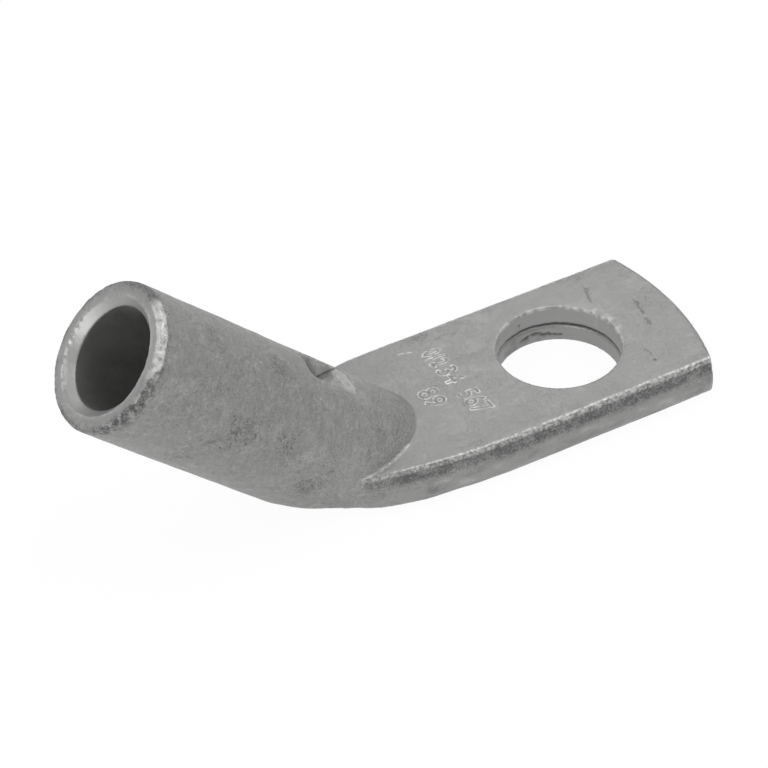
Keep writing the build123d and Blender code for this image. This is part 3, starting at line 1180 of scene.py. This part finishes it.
@dataclass(frozen=True)
class TinFinish:
    """One finish of the tinned copper.

    Args:
        name: the material's name.
        colour: base reflectance.
        bright: reflectance where the surface is painted bright, for wear and painted highlights.
        dark: reflectance of dirt, painted shade and pits.
        roughness: how matt the tin is.
        variation: how much the mottling changes the colour.
        wrinkle_depth: depth of the wrinkles, in millimetres.
        pit_amount: share of the surface that pits take.
        scratch_amount: strength of scratches.
        grain_depth: depth of the finest grain, in millimetres.
        peel_depth: depth of the peel on barrel and coarse spots, in millimetres.
        metallic: how mirror-like the reflection is, against a matt one.
        fleck: how much the peel changes the colour.
    """

    name: str
    colour: float
    bright: float
    dark: float
    roughness: float
    variation: float
    wrinkle_depth: float
    pit_amount: float
    scratch_amount: float
    grain_depth: float
    peel_depth: float
    metallic: float = 1.0
    fleck: float = 0.8

    def material(self, effects: Effects) -> Material:
        """Builds the material.

        Args:
            effects: the shared effects.

        Returns:
            The material.
        """
        made = bpy.data.materials.new(self.name)
        tree = NodeTree.cleared(made)
        place = tree.add("TexCoord").outputs["Object"]
        wear_and_highlight, dirt_and_shade, coarse, on_barrel = (
            tree.add("Attribute", attribute_name=name).outputs["Fac"] for name in EFFECTS)
        mottle, grain = tree.group(effects.mottle, place)
        wrinkles = tree.group(effects.wrinkles, place)[0]
        pits = tree.group(effects.pits, place, tree.times(coarse, 0.7, self.pit_amount))[0]
        scratches = tree.group(effects.scratches, place, self.scratch_amount)[0]
        peel = tree.group(effects.peel, place)[0]

        barrel_share = tree.times(on_barrel, 0.8, 0.2)
        rough_share = tree.maths("MAXIMUM", barrel_share, coarse)
        strong = tree.times(wrinkles, barrel_share)
        spots = tree.times(pits, rough_share)
        centred = tree.maths("SUBTRACT", mottle, 0.5)
        level = tree.times(centred, tree.times(barrel_share, self.variation), 1.0)
        lively = tree.times(rough_share, tree.ramp(mottle, 0.42, 0.56, 0.45, 1.0))
        flecks = tree.times(tree.maths("SUBTRACT", peel, 0.75), lively)
        level = tree.times(flecks, self.fleck, level)
        grey = (self.colour, self.colour, self.colour * 0.99, 1.0)
        lit = (self.bright, self.bright, self.bright * 0.985, 1.0)
        deep = (self.dark, self.dark, self.dark, 1.0)
        shade = tree.add("CombineColor", {0: level, 1: level, 2: level}).outputs[0]
        colour = tree.blend(1.0, grey, shade, "MULTIPLY")
        # The bright mask carries wear and painted highlights, the dark one dirt and painted
        # shade; wrinkles are painted towards the lit colour, a painted highlight along them.
        for mask, share, tint in (
            (strong, 0.16, lit),
            (spots, 0.6, deep),
            (dirt_and_shade, 0.8, deep),
            (wear_and_highlight, 0.8, lit),
            (scratches, 0.35, lit),
        ):
            colour = tree.blend(tree.times(mask, share), colour, tint)

        rough = tree.times(centred, 0.25, self.roughness)
        rough = tree.times(wear_and_highlight, -0.12, rough)
        rough = tree.times(dirt_and_shade, 0.2, rough)

        relief = tree.times(strong, -self.wrinkle_depth)
        relief = tree.times(spots, -0.03, relief)
        relief = tree.times(scratches, -0.006, relief)
        relief = tree.times(tree.times(peel, self.peel_depth), lively, relief)
        grain_depth = tree.times(coarse, 3.0 * self.grain_depth, self.grain_depth)
        relief = tree.times(grain, grain_depth, relief)
        relief = tree.times(mottle, 0.015, relief)
        height = tree.times(relief, MILLIMETRE)
        bump = tree.add("Bump", {"Strength": 1.0, "Distance": 1.0, "Height": height})
        surface = tree.add("BsdfPrincipled", {"Base Color": colour, "Metallic": self.metallic,
                                              "Roughness": rough, "Normal": bump.outputs[0]})
        tree.add("OutputMaterial", {0: surface.outputs[0]})
        return made


FINISHES = {
    Surface.OUTSIDE: TinFinish(
        "tin_outside", colour=0.39, bright=0.95, dark=0.09, roughness=0.44, variation=0.7,
        wrinkle_depth=0.045, pit_amount=0.55, scratch_amount=0.08, grain_depth=0.006,
        peel_depth=0.15, metallic=0.7, fleck=1.3,
    ),
    Surface.BORE: TinFinish(
        "tin_bore", colour=0.54, bright=0.5, dark=0.08, roughness=0.5, variation=0.4,
        wrinkle_depth=0.01, pit_amount=0.2, scratch_amount=0.1, grain_depth=0.004,
        peel_depth=0.03,
    ),
    Surface.CUT: TinFinish(
        "tin_cut_face", colour=0.43, bright=0.95, dark=0.09, roughness=0.42, variation=0.5,
        wrinkle_depth=0.012, pit_amount=0.4, scratch_amount=0.15, grain_depth=0.01,
        peel_depth=0.05, metallic=0.6,
    ),
}


@dataclass
class Studio:
    """The plain floor, soft lights and camera.

    Args:
        eye: the camera's place in millimetres.
        axes: the camera's right, up and backward directions.
        lens: the lens in millimetres on a 36 mm sensor.
        world_level: strength of the light from all round.
    """

    eye: tuple[float, float, float] = (-82.917, -142.103, 143.159)
    axes: tuple = (
        (0.88365478, -0.46515238, -0.05279679),
        (0.34106454, 0.56242956, 0.75322505),
        (-0.32066995, -0.68359802, 0.65564055),
    )
    lens: float = 121.232
    world_level: float = 0.4

    def build(self) -> None:
        """Sets up everything round the lug."""
        self.camera()
        self.floor()
        self.world()
        self.softbox("top_light", (60, -30, 200), (0, 0, 0), 150, 1.27)
        self.softbox("back_light", (93, 161, 167), (0, 0, 5), 150, 1.16)
        self.softbox("left_light", (-150, 150, 80), (-20, 0, 8), 110, 0.6)
        self.softbox("front_light", (-190, -105, 95), (-35, 0, 15), 150, 1.7)
        self.softbox("right_light", (210, -30, 60), (-10, 0, 5), 110, 1.1)

    def camera(self) -> None:
        """Places the camera where the photograph was taken from."""
        data = bpy.data.cameras.new("photo_camera")
        data.sensor_width = 36.0
        data.lens = self.lens
        data.clip_start = 0.01
        data.clip_end = 10.0
        camera = add_object("photo_camera", data)
        turn = Matrix(self.axes).transposed().to_4x4()
        camera.matrix_world = Matrix.Translation(Vector(self.eye) * MILLIMETRE) @ turn
        bpy.context.scene.camera = camera

    def floor(self) -> None:
        """Lays a wide pale floor that keeps the lug's shadow."""
        work = bmesh.new()
        bmesh.ops.create_grid(work, x_segments=8, y_segments=8, size=3.0)
        mesh = bpy.data.meshes.new("floor")
        work.to_mesh(mesh)
        work.free()
        floor = add_object("floor", mesh)
        made = bpy.data.materials.new("floor_paper")
        tree = NodeTree.cleared(made)
        paper = tree.add("BsdfDiffuse", {"Color": (0.82, 0.82, 0.82, 1.0)}).outputs[0]
        white = tree.add("Emission", {"Color": (1.0, 1.0, 1.0, 1.0), "Strength": 1.05}).outputs[0]
        path = tree.add("LightPath").outputs
        seen = tree.maths("MAXIMUM", path["Is Camera Ray"], path["Is Transmission Ray"])
        mirrored = tree.times(path["Is Glossy Ray"], 0.5)
        share = tree.maths("MAXIMUM", tree.times(seen, 0.9), mirrored)
        mixed = tree.add("MixShader", {0: share, 1: paper, 2: white}).outputs[0]
        tree.add("OutputMaterial", {0: mixed})
        mesh.materials.append(made)

    def world(self) -> None:
        """Gives a plain grey surround that the camera sees as white."""
        world = bpy.data.worlds.new("studio")
        bpy.context.scene.world = world
        tree = NodeTree.cleared(world)
        path = tree.add("LightPath")
        level = tree.ramp(path.outputs["Is Camera Ray"], 0.0, 1.0, self.world_level, 1.0)
        back = tree.add("Background", {"Color": (1.0, 1.0, 1.0, 1.0), "Strength": level})
        tree.add("OutputWorld", {0: back.outputs[0]})

    def softbox(self, name: str, place: tuple, target: tuple, size: float, level: float) -> None:
        """Hangs a square soft light.

        Args:
            name: the light's name.
            place: its centre in millimetres.
            target: the point it faces.
            size: its side in millimetres.
            level: its brightness, where 1 is white paper.
        """
        data = bpy.data.lights.new(name, "AREA")
        data.shape = "SQUARE"
        data.size = size * MILLIMETRE
        data.energy = level * math.pi * data.size ** 2
        facing = (Vector(target) - Vector(place)).to_track_quat("-Z", "Y").to_matrix().to_4x4()
        lamp = add_object(name, data)
        lamp.matrix_world = Matrix.Translation(Vector(place) * MILLIMETRE) @ facing


def main() -> None:
    """Builds the lug's looks and the studio round it."""
    logging.basicConfig(level=logging.INFO, format="%(name)s: %(message)s")
    Studio().build()
    effects = Effects()
    lug = LugBody().build(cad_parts["cable_lug"])
    for surface in Surface:
        lug.data.materials.append(FINISHES[surface].material(effects))
    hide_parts("cable_lug")
    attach(lug, "root")
    lug.data.calc_loop_triangles()
    log.info("%s: %d triangles", lug.name, len(lug.data.loop_triangles))
    bpy.context.scene.view_settings.view_transform = "Standard"


if __name__ == "__main__":
    main()
